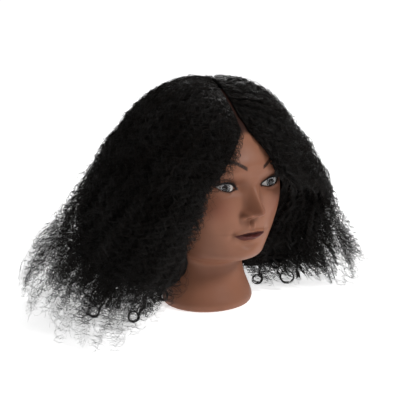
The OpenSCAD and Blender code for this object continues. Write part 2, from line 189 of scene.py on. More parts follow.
def lid_edges(x):
    """Heights of the upper and lower lid's edge over the middle of the eye, at x from it."""
    flat = np.clip(np.abs(x), 0, LID_HALF)
    up = LID_UP - arc_r(LID_UP) + np.sqrt(arc_r(LID_UP) ** 2 - flat**2)
    down = arc_r(LID_DOWN) - LID_DOWN - np.sqrt(arc_r(LID_DOWN) ** 2 - flat**2)
    return up, down


def lip_lines(x):
    """Height of the line between the lips, the upper lip's border and the lower lip's border."""
    u = np.clip(np.abs(x) / LIP_HALF, 0, 1)
    line = LIP_Z - 1 + 1.6 * u**2 + 0.7 * hump(x / 4)
    upper = line + 5.8 * (1 - u**2.0) - 1.2 * hump(x / 2.8)
    lower = line - 7.2 * (1 - u**2.2)
    return line, upper, lower


def face_form(x, z):
    total = 0
    for fx, fz, sx, sz, height in FORMS:
        total = total + height * hump((np.abs(x) - fx) / sx) * hump((z - fz) / sz)
    ridge = np.maximum(0, curve(NOSE, np.clip(z, 130, 189), 1))
    total = total + ridge * np.exp(-((np.abs(x) / curve(NOSE, np.clip(z, 130, 189), 2)) ** 2.3))
    total = total - 4.0 * hump((np.abs(x) - 5.8) / 2.5) * hump((z - 137.5) / 2.0)  # nostrils
    total = total - 1.8 * hump((np.abs(x) - 16.6) / 2.0) * hump((z - 141) / 6)  # fold behind the wing
    across = np.sqrt(np.clip(1 - (x / LIP_HALF) ** 2, 0, 1))
    line, upper, lower = lip_lines(x)
    total = total + 3.6 * across * hump((z - mix(line, upper, 0.6)) / 3.0)
    total = total + 4.8 * across * hump((z - mix(line, lower, 0.55)) / 3.4)
    total = total - 2.6 * across * hump((z - line) / 1.1)
    total = total + 0.5 * across * hump((z - upper - 0.4) / 0.8)
    # crease over the upper lid
    dx, dz = eye_offset(x, z)
    up, _ = lid_edges(dx)
    crease = dz - up - 4.4
    total = total - 1.3 * hump(crease / 1.3) * hump(dx / 15.5)
    return total


def ear(bearing, z):
    """A rim round a hollow at the side of the head, with the inner fold and the lobe."""
    degrees = np.degrees(bearing)
    along = (z - 166) / 27
    across = (degrees - 90 - 5 * along) / (8.5 - 2.5 * along)
    d = np.sqrt(along**2 + across**2)
    rim = 9 * smooth((1.15 - d) / 0.3) - 5 * smooth((0.78 - d) / 0.25)
    inner = np.sqrt(((z - 162) / 15) ** 2 + ((degrees - 89) / 4.2) ** 2)
    return rim + 2.4 * hump((inner - 1) / 0.28) - 3.0 * smooth((0.7 - inner) / 0.3)


def eye_offset(x, z):
    """Offset from the eye's centre, along and across the slanting line of the lids."""
    dx, dz = np.abs(x) - EYE_X, z * KZ - EYE_Z
    c, s = math.cos(math.radians(LID_SLANT)), math.sin(math.radians(LID_SLANT))
    return dx * c + dz * s, dz * c - dx * s


def in_lids(x, z):
    """Positive between the lids, in millimetres from their edge, negative on the skin."""
    dx, dz = eye_offset(x, z)
    up, down = lid_edges(dx)
    return np.where(np.abs(dx) < LID_HALF, np.minimum(up - dz, dz - down), -50.0)


def skin_points(bearing, z, inset=0.0):
    """Points of the head's skin, or of a plain wall inset behind it."""
    turn = np.where(bearing > np.pi, 2 * np.pi - bearing, bearing)
    base = plain_r(turn, z)
    x = base * np.sin(turn)
    face = np.cos(turn) > 0
    if inset:
        form = np.where(face, -9 * hump((np.abs(x) - 28) / 18) * hump((z - 178) / 10), 0)
        r = base - inset
        front = r * np.cos(turn) + form
        return np.stack([r * np.sin(bearing), -front, z * KZ], -1)
    form = np.where(face, face_form(x, z), 0)
    r = base + ear(turn, z)
    front = r * np.cos(turn) + form
    dx, dz = eye_offset(x, z)
    ball = EYE_R + LID_T
    near = dx**2 + dz**2 < ball**2
    lid = np.where(near, np.sqrt(np.clip(ball**2 - dx**2 - dz**2, 0, None)) - EYE_Y, 0)
    front = np.where(face, soft_max(front, lid, 3.0), front)
    # between the lids the skin drops behind the eye's dome
    pocket = np.sqrt(np.clip((EYE_R - 1.4) ** 2 - dx**2 - dz**2, 0, None)) - EYE_Y
    front = np.where(face, mix(front, np.minimum(front, pocket), smooth(in_lids(x, z) / 1.1)), front)
    return np.stack([r * np.sin(bearing), -front, z * KZ], -1)


# ---- meshes and materials ----
def new_mesh(name, points, faces_of_four, faces_of_three, materials, slots=None):
    """Makes an object from points in millimetres, quads and triangles, with numpy speed."""
    me = bpy.data.meshes.new(name)
    quads = np.asarray(faces_of_four, np.int32).reshape(-1, 4)
    tris = np.asarray(faces_of_three, np.int32).reshape(-1, 3)
    me.vertices.add(len(points))
    me.vertices.foreach_set("co", (np.asarray(points, np.float32) * MM).ravel())
    loops = np.concatenate([quads.ravel(), tris.ravel()])
    me.loops.add(len(loops))
    me.loops.foreach_set("vertex_index", loops)
    sizes = np.concatenate([np.full(len(quads), 4, np.int32), np.full(len(tris), 3, np.int32)])
    starts = np.concatenate([[0], np.cumsum(sizes)[:-1]]).astype(np.int32)
    me.polygons.add(len(sizes))
    me.polygons.foreach_set("loop_start", starts)
    me.polygons.foreach_set("use_smooth", np.full(len(sizes), True))
    if slots is not None:
        me.polygons.foreach_set("material_index", np.asarray(slots, np.int32))
    me.update(calc_edges=True)
    me.validate()
    for m in materials:
        me.materials.append(m)
    ob = bpy.data.objects.new(name, me)
    bpy.context.scene.collection.objects.link(ob)
    return ob


def add_attribute(ob, name, values):
    layer = ob.data.attributes.new(name, "FLOAT", "POINT")
    layer.data.foreach_set("value", np.asarray(values, np.float32).ravel())


def grid_quads(rows, cols, wrap, start=0):
    i, j = np.meshgrid(np.arange(rows - 1), np.arange(cols if wrap else cols - 1), indexing="ij")
    k = (j + 1) % cols
    quads = np.stack([i * cols + j, i * cols + k, (i + 1) * cols + k, (i + 1) * cols + j], -1)
    return quads.reshape(-1, 4) + start


class Nodes:
    """A short way to write a material's node tree."""

    def __init__(self, name):
        self.mat = bpy.data.materials.new(name)
        self.mat.use_nodes = True
        self.tree = self.mat.node_tree
        self.out = self.tree.nodes["Material Output"]
        self.shader = self.tree.nodes["Principled BSDF"]

    def add(self, kind, **settings):
        node = self.tree.nodes.new(kind)
        for key, value in settings.items():
            setattr(node, key, value)
        return node

    def put(self, socket, value):
        if isinstance(value, bpy.types.NodeSocket):
            self.tree.links.new(value, socket)
        else:
            socket.default_value = value

    def set(self, **values):
        for key, value in values.items():
            self.put(self.shader.inputs[key.replace("_", " ")], value)

    def place(self, stretch=(1, 1, 1)):
        coords = self.add("ShaderNodeTexCoord").outputs["Object"]
        mapping = self.add("ShaderNodeMapping")
        mapping.inputs["Scale"].default_value = stretch
        self.tree.links.new(coords, mapping.inputs["Vector"])
        return mapping.outputs["Vector"]

    def noise(self, scale, detail=3.0, vector=None, rough=0.5):
        node = self.add("ShaderNodeTexNoise")
        node.inputs["Scale"].default_value = scale
        node.inputs["Detail"].default_value = detail
        node.inputs["Roughness"].default_value = rough
        self.tree.links.new(vector or self.place(), node.inputs["Vector"])
        return node.outputs["Fac"]

    def ramp(self, value, stops):
        node = self.add("ShaderNodeValToRGB")
        while len(node.color_ramp.elements) < len(stops):
            node.color_ramp.elements.new(0.5)
        for element, (at, colour) in zip(node.color_ramp.elements, stops):
            element.position = at
            element.color = (*colour, 1.0)
        self.put(node.inputs["Fac"], value)
        return node.outputs["Color"]

    def span(self, value, low, high, to_low, to_high):
        node = self.add("ShaderNodeMapRange")
        for key, v in (("From Min", low), ("From Max", high), ("To Min", to_low), ("To Max", to_high)):
            node.inputs[key].default_value = v
        self.put(node.inputs["Value"], value)
        return node.outputs["Result"]

    def blend(self, share, a, b, kind="MIX"):
        node = self.add("ShaderNodeMix", data_type="RGBA", blend_type=kind)
        self.put(node.inputs["Factor"], share)
        for socket, value in ((node.inputs[6], a), (node.inputs[7], b)):
            self.put(socket, (*value, 1.0) if isinstance(value, tuple) and len(value) == 3 else value)
        return node.outputs[2]

    def maths(self, operation, a, b=0.0):
        node = self.add("ShaderNodeMath", operation=operation)
        self.put(node.inputs[0], a)
        self.put(node.inputs[1], b)
        return node.outputs[0]

    def attribute(self, name):
        return self.add("ShaderNodeAttribute", attribute_name=name).outputs["Fac"]

    def bump(self, height, strength, distance):
        node = self.add("ShaderNodeBump")
        node.inputs["Strength"].default_value = strength
        node.inputs["Distance"].default_value = distance
        self.put(node.inputs["Height"], height)
        self.put(self.shader.inputs["Normal"], node.outputs["Normal"])


def moulded(name, colour, rough, grain=900.0, depth=0.0001):
    """Moulded plastic or foam: faint mottling, uneven gloss and a fine grain."""
    n = Nodes(name)
    cloud = n.noise(35.0, 4.0)
    darker = tuple(0.72 * c for c in colour)
    lighter = tuple(min(1.0, 1.15 * c + 0.004) for c in colour)
    n.set(
        Base_Color=n.ramp(cloud, [(0.3, darker), (0.7, lighter)]),
        Roughness=n.span(n.noise(120.0, 3.0), 0.3, 0.7, rough - 0.07, rough + 0.07),
    )
    n.bump(n.noise(grain, 2.0), 0.35, depth)
    return n.mat


def skin_material():
    n = Nodes("painted_vinyl")
    cloud = n.noise(14.0, 4.0)
    base = n.ramp(cloud, [(0.3, (0.21, 0.088, 0.052)), (0.72, (0.27, 0.118, 0.071))])
    # painted shade with a redder blush tone: darkens the cheeks and the middle of the nose
    base = n.blend(n.maths("MULTIPLY", n.attribute("blush_and_shade"), 0.8), base, (0.19, 0.062, 0.034))
    # dots where the hair is rooted
    dots = n.add("ShaderNodeTexVoronoi")
    dots.inputs["Scale"].default_value = 520.0
    n.tree.links.new(n.place(), dots.inputs["Vector"])
    root = n.span(dots.outputs["Distance"], 0.18, 0.34, 1.0, 0.0)
    base = n.blend(n.maths("MULTIPLY", n.attribute("scalp"), 0.97), base, (0.020, 0.0075, 0.006))
    base = n.blend(n.maths("MULTIPLY", n.attribute("scalp"), root), base, (0.016, 0.009, 0.008))
    creases = n.noise(260.0, 2.0, n.place((1.0, 1.0, 0.25)))
    lips = n.ramp(creases, [(0.3, (0.056, 0.008, 0.006)), (0.75, (0.095, 0.017, 0.012))])
    base = n.blend(n.attribute("lips"), base, lips)
    # painted shade: darkens the hollows and the upper lip by the shade values
    base = n.blend(n.attribute("shade"), base, (0.42, 0.36, 0.33), "MULTIPLY")
    strokes = n.noise(1400.0, 2.0, n.place((1.0, 0.6, 0.3)))
    brow = n.maths("MULTIPLY", n.attribute("brow"), n.span(strokes, 0.35, 0.6, 0.78, 1.0))
    base = n.blend(brow, base, (0.020, 0.009, 0.006))
    base = n.blend(n.attribute("liner"), base, (0.014, 0.007, 0.006))
    rough = n.span(n.noise(70.0, 3.0), 0.3, 0.7, 0.40, 0.50)
    rough = n.maths("SUBTRACT", rough, n.maths("MULTIPLY", n.attribute("lips"), 0.06))
    rough = n.maths("ADD", rough, n.maths("MULTIPLY", n.attribute("shade"), 0.45))
    n.set(Base_Color=base, Roughness=rough)
    n.shader.inputs["Specular IOR Level"].default_value = 0.2
    n.shader.inputs["Subsurface Weight"].default_value = 0.06
    n.shader.inputs["Subsurface Radius"].default_value = (0.9, 0.35, 0.2)
    n.shader.inputs["Subsurface Scale"].default_value = 0.004
    pores = n.maths("ADD", n.noise(1500.0, 2.0), n.maths("MULTIPLY", n.noise(240.0, 3.0), 0.6))
    n.bump(pores, 0.22, 0.00012)
    return n.mat


def hair_material(name, colour, rough, glint):
    """Hair: near black, with a sheen that changes from lock to lock and along each one."""
    n = Nodes(name)
    patches = n.maths("ADD", n.noise(26.0, 3.0), n.maths("MULTIPLY", n.noise(170.0, 2.0), 0.5))
    n.shader.inputs["Specular IOR Level"].default_value = 0.75 * glint
    n.put(n.shader.inputs["Specular IOR Level"], n.span(patches, 0.45, 1.05, 0.15 * glint, 1.3 * glint))
    n.shader.inputs["Base Color"].default_value = (*colour, 1.0)
    n.shader.inputs["Roughness"].default_value = rough
    return n.mat


def eye_white_material():
    n = Nodes("eye_white")
    veins = n.noise(420.0, 5.0, rough=0.7)
    white = n.ramp(veins, [(0.35, (0.36, 0.32, 0.30)), (0.55, (0.52, 0.50, 0.48))])
    n.set(Base_Color=white, Roughness=n.span(n.noise(90.0), 0.3, 0.7, 0.10, 0.16))
    n.shader.inputs["Coat Weight"].default_value = 0.6
    n.shader.inputs["Coat Roughness"].default_value = 0.04
    return n.mat


def iris_material(side):
    """Grey iris with radial fibres, a dark ring and a black pupil, drawn round the eye's axis."""
    n = Nodes("iris_" + side)
    low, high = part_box(side + "_iris")
    coords = n.add("ShaderNodeTexCoord").outputs["Object"]
    shift = n.add("ShaderNodeVectorMath", operation="SUBTRACT")
    n.tree.links.new(coords, shift.inputs[0])
    shift.inputs[1].default_value = ((low.x + high.x) / 2, 0.0, (low.z + high.z) / 2)
    parts = n.add("ShaderNodeSeparateXYZ")
    n.tree.links.new(shift.outputs[0], parts.inputs[0])
    x, z = parts.outputs["X"], parts.outputs["Z"]
    radius = n.maths("SQRT", n.maths("ADD", n.maths("MULTIPLY", x, x), n.maths("MULTIPLY", z, z)))
    angle = n.maths("ARCTAN2", z, x)
    ring = n.add("ShaderNodeCombineXYZ")
    n.tree.links.new(n.maths("MULTIPLY", angle, 6.0), ring.inputs["X"])
    n.tree.links.new(n.maths("MULTIPLY", radius, 160.0), ring.inputs["Y"])
    fibres = n.noise(2.6, 4.0, ring.outputs[0], 0.65)
    grey = n.ramp(fibres, [(0.3, (0.030, 0.026, 0.024)), (0.7, (0.12, 0.108, 0.10))])
    edge = n.span(radius, 0.0048, 0.0062, 0.0, 1.0)
    shade = n.blend(edge, grey, (0.014, 0.013, 0.013))
    pupil = n.span(radius, 0.0021, 0.0025, 1.0, 0.0)
    shade = n.blend(pupil, shade, (0.002, 0.002, 0.002))
    n.set(Base_Color=shade, Roughness=n.span(fibres, 0.3, 0.7, 0.2, 0.35))
    n.shader.inputs["Coat Weight"].default_value = 1.0
    n.shader.inputs["Coat Roughness"].default_value = 0.03
    return n.mat


def clear_material():
    n = Nodes("clear_acrylic")
    n.set(Roughness=n.span(n.noise(300.0), 0.3, 0.7, 0.01, 0.04))
    n.shader.inputs["Base Color"].default_value = (0.97, 0.98, 1.0, 1.0)
    n.shader.inputs["IOR"].default_value = 1.36
    n.shader.inputs["Transmission Weight"].default_value = 1.0
    return n.mat


def steel_material():
    n = Nodes("plated_steel")
    marks = n.noise(600.0, 3.0, n.place((1.0, 1.0, 6.0)))
    n.set(
        Base_Color=n.ramp(marks, [(0.3, (0.42, 0.42, 0.44)), (0.7, (0.62, 0.62, 0.65))]),
        Roughness=n.span(marks, 0.3, 0.7, 0.22, 0.4),
    )
    n.shader.inputs["Metallic"].default_value = 1.0
    n.bump(marks, 0.2, 0.00005)
    return n.mat


# ---- skin ----
def build_skin():
    cols = 312
    a = np.linspace(0, 2 * np.pi, cols, endpoint=False)
    bearing = a - math.radians(34) * np.sin(a)
    zs = np.concatenate([
        np.linspace(0, 12, 9), np.linspace(14, 66, 24), np.arange(67.5, 92, 1.1),
        np.arange(92, 220, 0.78), CRANIUM_Z + CRANIUM_H * np.sin(np.radians(np.arange(11.5, 88, 2.6))),
    ])
    inner_zs = np.array([
        8, 20, 40, 58, 67, 78, 92, 104, 118, 131, 144, 156,
        165, 174, 183, 192, 200, 218, 236, 252, 266, 276.0,
    ])
    zz, bb = np.meshgrid(zs, bearing, indexing="ij")
    outer = skin_points(bb, zz)
    top = np.array([[0, 0, CROWN * KZ]])
    iz, ib = np.meshgrid(inner_zs, bearing, indexing="ij")
    rise = np.where(iz > CRANIUM_Z, 3.5 * (iz - CRANIUM_Z) / CRANIUM_H, 0)
    inner = skin_points(ib, iz - rise, 3.2)
    inner[..., 2] += 5 * hump((iz - 77) / 12)
    lip = outer[0] * np.array([0.945, 0.945, 1.0])
    rim = outer[0] * np.array([0.93, 0.93, 1.0])
    rim[:, 2] = 7.0
    inner = np.concatenate([lip[None], rim[None], inner[1:]])
    in_top = np.array([[0, 0, (CROWN - 4) * KZ]])
    rows, in_rows = len(zs), len(inner)
    points = np.concatenate([outer.reshape(-1, 3), inner.reshape(-1, 3), top, in_top])
    n_out = rows * cols
    n_in = in_rows * cols
    quads = [grid_quads(rows, cols, True), grid_quads(in_rows, cols, True, n_out)[:, ::-1]]
    j = np.arange(cols)
    k = (j + 1) % cols
    quads.append(np.stack([j, n_out + j, n_out + k, k], -1))
    tip, in_tip = n_out + n_in, n_out + n_in + 1
    last, in_last = (rows - 1) * cols, n_out + (in_rows - 1) * cols
    tris = [
        np.stack([last + j, last + k, np.full(cols, tip)], -1),
        np.stack([in_last + k, in_last + j, np.full(cols, in_tip)], -1),
    ]
    ob = new_mesh("skin", points, np.concatenate(quads), np.concatenate(tris), [skin_material()])

    # paint, as values on the points: lips, brows, liner, scalp, a redder blush that also darkens the cheeks
    # as painted shade, and painted shade in the hollows and on the upper lip
    turn = np.where(bb > np.pi, 2 * np.pi - bb, bb)
    x = plain_r(turn, zz) * np.sin(turn)
    face = np.cos(turn) > 0
    line, upper, lower = lip_lines(x)
    inside = np.minimum(upper - 1.0 - zz, zz - lower + 1.4)
    lips = smooth(inside / 0.8) * (np.abs(x) < LIP_HALF) * smooth((LIP_HALF + 0.5 - np.abs(x)) / 1.5)
    bx = np.abs(x)
    arch_line = [[9, 199], [13, 201.2], [22, 206.5], [32, 211.5], [40, 212.5], [52, 208]]
    arch = curve(arch_line, np.clip(bx, 9, 52), 1)
    thick = curve([[9, 1.6], [13, 2.6], [22, 2.5], [36, 1.8], [50, 0.5]], np.clip(bx, 9, 50), 1)
    brow = smooth((thick + 0.35 - np.abs(zz - arch)) / 0.8)
    brow = brow * smooth((bx - 11.0) / 2.0) * smooth((52 - bx) / 4)
    dx, dz = eye_offset(x, zz)
    up, down = lid_edges(dx)
    gap = in_lids(x, zz)
    above = smooth((3.2 - (dz - up)) / 1.2) * smooth((dz - up + 1.8) / 0.6)
    above = above * smooth((17.5 - np.abs(dx)) / 2.5) * (dz > -1.5)
    below = 0.75 * smooth((0.9 - (down - dz)) / 0.6) * smooth((down - dz + 1.5) / 0.5)
    below = below * smooth((16.5 - np.abs(dx)) / 2.0)
    wing = smooth((1.3 - np.abs(dz - 1.0 - 0.35 * (dx - LID_HALF))) / 0.8)
    wing = wing * smooth((dx - LID_HALF + 3) / 2) * smooth((20.5 - dx) / 3)
    liner = np.clip(np.maximum(np.maximum(above, below), wing), 0, 1) * face
    liner = np.maximum(liner, smooth((gap + 0.2) / 0.5) * face)
    scalp = smooth((zz - 238.5 + 0.35 * np.abs(x)) / 6) * np.where(face, 1, 0.9)
    # painted shade with a redder blush tone, on the cheeks and down the middle of the nose
    blush_and_shade = (hump((bx - 45) / 17) * hump((zz - 150) / 16) + 0.5 * hump(x / 9) * hump((zz - 146) / 8)) * face
    # painted shade: in the crease over the upper lids, behind the nose's wings, in the nostrils, along the
    # mouth's line and on the downward-facing upper lip, in the groove and under the nose, down its sides and
    # on the cheeks below the eyes
    shade = (
        0.55 * hump(dx / 17) * hump((dz - 9) / 5)
        + 0.8 * hump((bx - 17) / 3) * hump((zz - 141) / 5)
        + 0.9 * hump((bx - 5.8) / 3) * hump((zz - 137) / 2.2)
        + 0.9 * hump(x / 24) * hump((zz - line - 0.6) / 1.6)
        + 1.0 * lips * smooth((zz - line + 0.8) / 1.0)
        + 0.35 * hump(x / 1.5) * hump((zz - 128.5) / 4)
        + 0.45 * hump(x / 11) * hump((zz - 132) / 4)
        + 0.5 * hump((bx - 12) / 4.5) * hump((zz - 158) / 14)
        + 0.3 * hump((bx - 46) / 14) * hump((zz - 162) / 14)
    ) * face
    fill = np.zeros(n_in + 2)
    for name, values in (
        ("lips", lips * face), ("brow", brow * face), ("liner", liner), ("scalp", scalp),
        ("blush_and_shade", blush_and_shade), ("shade", np.clip(shade, 0, 1)),
    ):
        add_attribute(ob, name, np.concatenate([values.ravel(), fill]))
    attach(ob, "root")
    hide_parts("head_skin")


# ---- strands ----
def tubes(paths, radii, sides=3):
    """Closed tubes along paths (strands, points, 3), as points, quads and triangles."""
    strands, count, _ = paths.shape
    along = unit(np.gradient(paths, axis=1))
    seed = np.where(np.abs(along[:, 0, 2:3]) > 0.8, np.array([[1.0, 0, 0]]), np.array([[0, 0, 1.0]]))
    u = unit(np.cross(along[:, 0], seed))
    frames = np.empty_like(paths)
    for k in range(count):
        u = unit(u - (u * along[:, k]).sum(-1, keepdims=True) * along[:, k])
        frames[:, k] = u
    v = np.cross(along, frames)
    turn = np.arange(sides) * 2 * np.pi / sides
    ring = (
        np.cos(turn)[None, None, :, None] * frames[:, :, None]
        + np.sin(turn)[None, None, :, None] * v[:, :, None]
    )
    points = paths[:, :, None] + radii[:, :, None, None] * ring
    base = grid_quads(count, sides, True)
    offset = (np.arange(strands) * count * sides)[:, None, None]
    quads = (base[None] + offset).reshape(-1, 4)[:, ::-1]
    first = np.arange(sides)
    last = (count - 1) * sides + first
    if sides == 3:
        caps = np.stack([first, last[::-1]])
    else:
        fan = [[first[0], first[i], first[i + 1]] for i in range(1, sides - 1)]
        end = [[last[0], last[i + 1], last[i]] for i in range(1, sides - 1)]
        caps = np.array(fan + end)
    caps = (caps[None] + offset).reshape(-1, 3)
    return points.reshape(-1, 3), quads, caps


# ---- hair ----
# Bell below the skull's widest place: height, share of HEM_R.
BELL = [
    [0, 0.99], [14, 0.99], [30, 0.975], [54, 0.93], [75, 0.875], [96, 0.815], [114, 0.77],
    [134, 0.725], [155, 0.675], [172, 0.63], [188, 0.585], [204, 0.545],
]
TOP_SHARE = 0.545  # the bell's share of HEM_R where the dome of hair starts
TURN = 0.42  # share of a lock's run that lies over the skull
# Where the sides differ, they are given by sign: -1 is the head's right, 1 its left.
TOP_LIFT = {-1: 0.0, 1: -3.0}  # of the dome of hair
FACE_GAP = {-1: 30.5, 1: 40.0}  # bearing at which the hair starts beside the face
DRAPE = {-1: (9.0, 176.0), 1: (28.0, 144.0)}  # degrees it falls forward by, and the height it does so down to
HEM_GAP = {-1: (68.0, 55.0), 1: (77.0, 66.0)}  # against the neck, and at the outer edge
HAIRLINE_Y, CROWN_Y = -80.0, 56.0  # ends of the line that the locks grow from
DOME_REACH = 94  # mean reach of the skull's dome, which turns that line into directions
DIP_Y, PART_HALF = 36.0, 18.0  # back end and half width of the dip along the parting
PARTING = 2.4  # half width of the bare line in it
LOWEST = 2.5  # height over the floor at which the longest strands stop
LEFT_SHARE = 0.92  # the left side's curls hang a little closer


def hair_points(side, b, s, t):
    """Points of the hair, with x positive: bearing b in degrees, run s, share t of the thickness."""
    gap, (gap_in, gap_out) = FACE_GAP[side], HEM_GAP[side]
    b, s, t = np.broadcast_arrays(*(np.asarray(v, float) for v in (b, s, t)))
    share = np.clip((180 - b) / (180 - gap), 0, 1)
    py = mix(CROWN_Y, HAIRLINE_Y, share) / DOME_REACH
    start = np.stack([0 * py, py, np.sqrt(1 - py * py)], -1)
    turned, until = DRAPE[side]
    rb = np.radians(b - turned * share**3)
    hang = np.stack([np.sin(rb), -np.cos(rb), 0 * rb], -1)
    w = np.arccos(np.clip((start * hang).sum(-1), -1, 1))
    k = np.clip(s / TURN, 0, 1)
    sw = np.maximum(np.sin(w), 1e-6)
    way = (np.sin((1 - k) * w) / sw)[..., None] * start + (np.sin(k * w) / sw)[..., None] * hang
    low = np.clip((s - TURN) / (1 - TURN), 0, 1.1)
    fall = smooth(low)
    z = mix(CRANIUM_Z, HEM_Z / KZ, low)
    drape = turned * share**3 * smooth((z - until) / (CRANIUM_Z - until))
    b_in = np.radians(b + fall * (gap_in - gap) * share - drape)
    b_out = np.radians(b + fall * (gap_out - gap) * share - drape)
    ear_room = 8 * hump((np.degrees(b_in) - 94) / 38) * hump((z - 166) / 42)
    r_in = plain_r(b_in, z) + 1.5 + (1.0 + ear_room) * smooth((s - TURN) * 8)
    wide = HEM_R * (1 if side < 0 else 1 - (1 - LEFT_SHARE) * smooth(share * 2) * smooth(low * 2))
    r_out = curve(BELL, np.clip(z, 0, CRANIUM_Z), 1) * wide
    over = (s < TURN)[..., None]
    wb = np.arctan2(way[..., 0], -way[..., 1])
    wr = plain_r(np.abs(wb), CRANIUM_Z + way[..., 2] * CRANIUM_H) + 1.5 * (1 - way[..., 2])
    wz = CRANIUM_Z + way[..., 2] * (CRANIUM_H + 1.2)
    in_top = np.stack([wr * np.sin(wb), -wr * np.cos(wb), wz * KZ], -1)
    top_r = TOP_SHARE * HEM_R * (1 - 0.12 * smooth(way[..., 2] / 0.35))
    top_z = CRANIUM_Z * KZ + way[..., 2] * (HAIR_TOP + TOP_LIFT[side] - CRANIUM_Z * KZ)
    out_top = np.stack([way[..., 0] * top_r, way[..., 1] * top_r, top_z], -1)
    in_low = np.stack([r_in * np.sin(b_in), -r_in * np.cos(b_in), z * KZ], -1)
    out_low = np.stack([r_out * np.sin(b_out), -r_out * np.cos(b_out), z * KZ], -1)
    inner = np.where(over, in_top, in_low)
    outer = np.where(over, out_top, out_low)
    dip = 0.95 * hump(inner[..., 0] / PART_HALF) * smooth((DIP_Y - inner[..., 1]) / 50)
    dip = np.where(s < TURN, dip, 0)
    return inner + (outer - inner) * (t * (1 - dip))[..., None]


def parting(y):
    """Half width of the bare line, which opens into the hairline and closes behind the crown."""
    return PARTING * (1 - 0.9 * smooth((y - 5) / 25)) + 2.5 * smooth((-66 - y) / 14)


def settle(points):
    """Veers the parting to the left as it goes back and keeps the hair within its size."""
    x, y, z = points[..., 0], points[..., 1], points[..., 2]
    veer = 18 * smooth((y - HAIRLINE_Y) / 110) * smooth((z - 225) / 50) * hump(x / 75)
    # beyond a radius, and past a plane in front, the hair is drawn in softly
    r = np.hypot(x, y)
    wide, give_out, give_front = HEM_R - 14, 24, 11
    soft = wide + give_out * (1 - np.exp(-(r - wide) / give_out))
    pull = np.where(r > wide, soft / np.maximum(r, 1), 1.0)
    front = CAD_LOW.y / MM
    y = y * pull
    y = np.where(y < front, front - give_front * (1 - np.exp((y - front) / give_front)), y)
    return np.stack([x * pull + veer, y, z], -1)


def wander(rng, strands, count):
    """Slow random drift for each strand, a unit or so in size, from 0 at the root."""
    s = np.linspace(0, 1, count)[None, :, None]
    total = np.zeros((strands, count, 3))
    for k in (1, 2, 3):
        phase = rng.uniform(0, 2 * np.pi, (strands, 1, 3))
        total += np.sin(2 * np.pi * k * 0.9 * s + phase) * rng.normal(0, 1 / k, (strands, 1, 3))
    return total * smooth(s / 0.25)


# How a curl changes along the run: share of the run, wavelength and radius in millimetres.
CURL = [
    [0, 20, 0.4], [0.08, 18, 1.5], [0.25, 16, 2.2], [0.4, 15, 2.6],
    [0.6, 14, 3.0], [0.75, 12, 3.8], [0.88, 10.5, 5.0], [1.1, 9, 6.2],
]
CRIMP_LENGTH = 11  # wavelength of the fine crimp


# How each family of strands looks: the spread of a clump in degrees, the jitter of its phase, its
# drift, each strand's own drift, the size of the curls, how far the strands draw in towards the hem,
# and the size of the fine crimp.
LOOKS = {
    "body": dict(spread=0.9, jitter=0.3, drift=4.0, own_drift=2.2, big=1.1, slim=0.3, crimped=0.8),
    "ringlets": dict(spread=0.25, jitter=0.12, drift=7.0, own_drift=0.8, big=1.15, slim=0.22, crimped=0.4),
    "frizz": dict(spread=0.3, jitter=0.25, drift=9.0, own_drift=0.8, big=1.25, slim=0.0, crimped=0.5),
    "fuzz": dict(spread=0.3, jitter=0.3, drift=8.0, own_drift=1.5, big=1.7, slim=0.0, crimped=1.0),
}


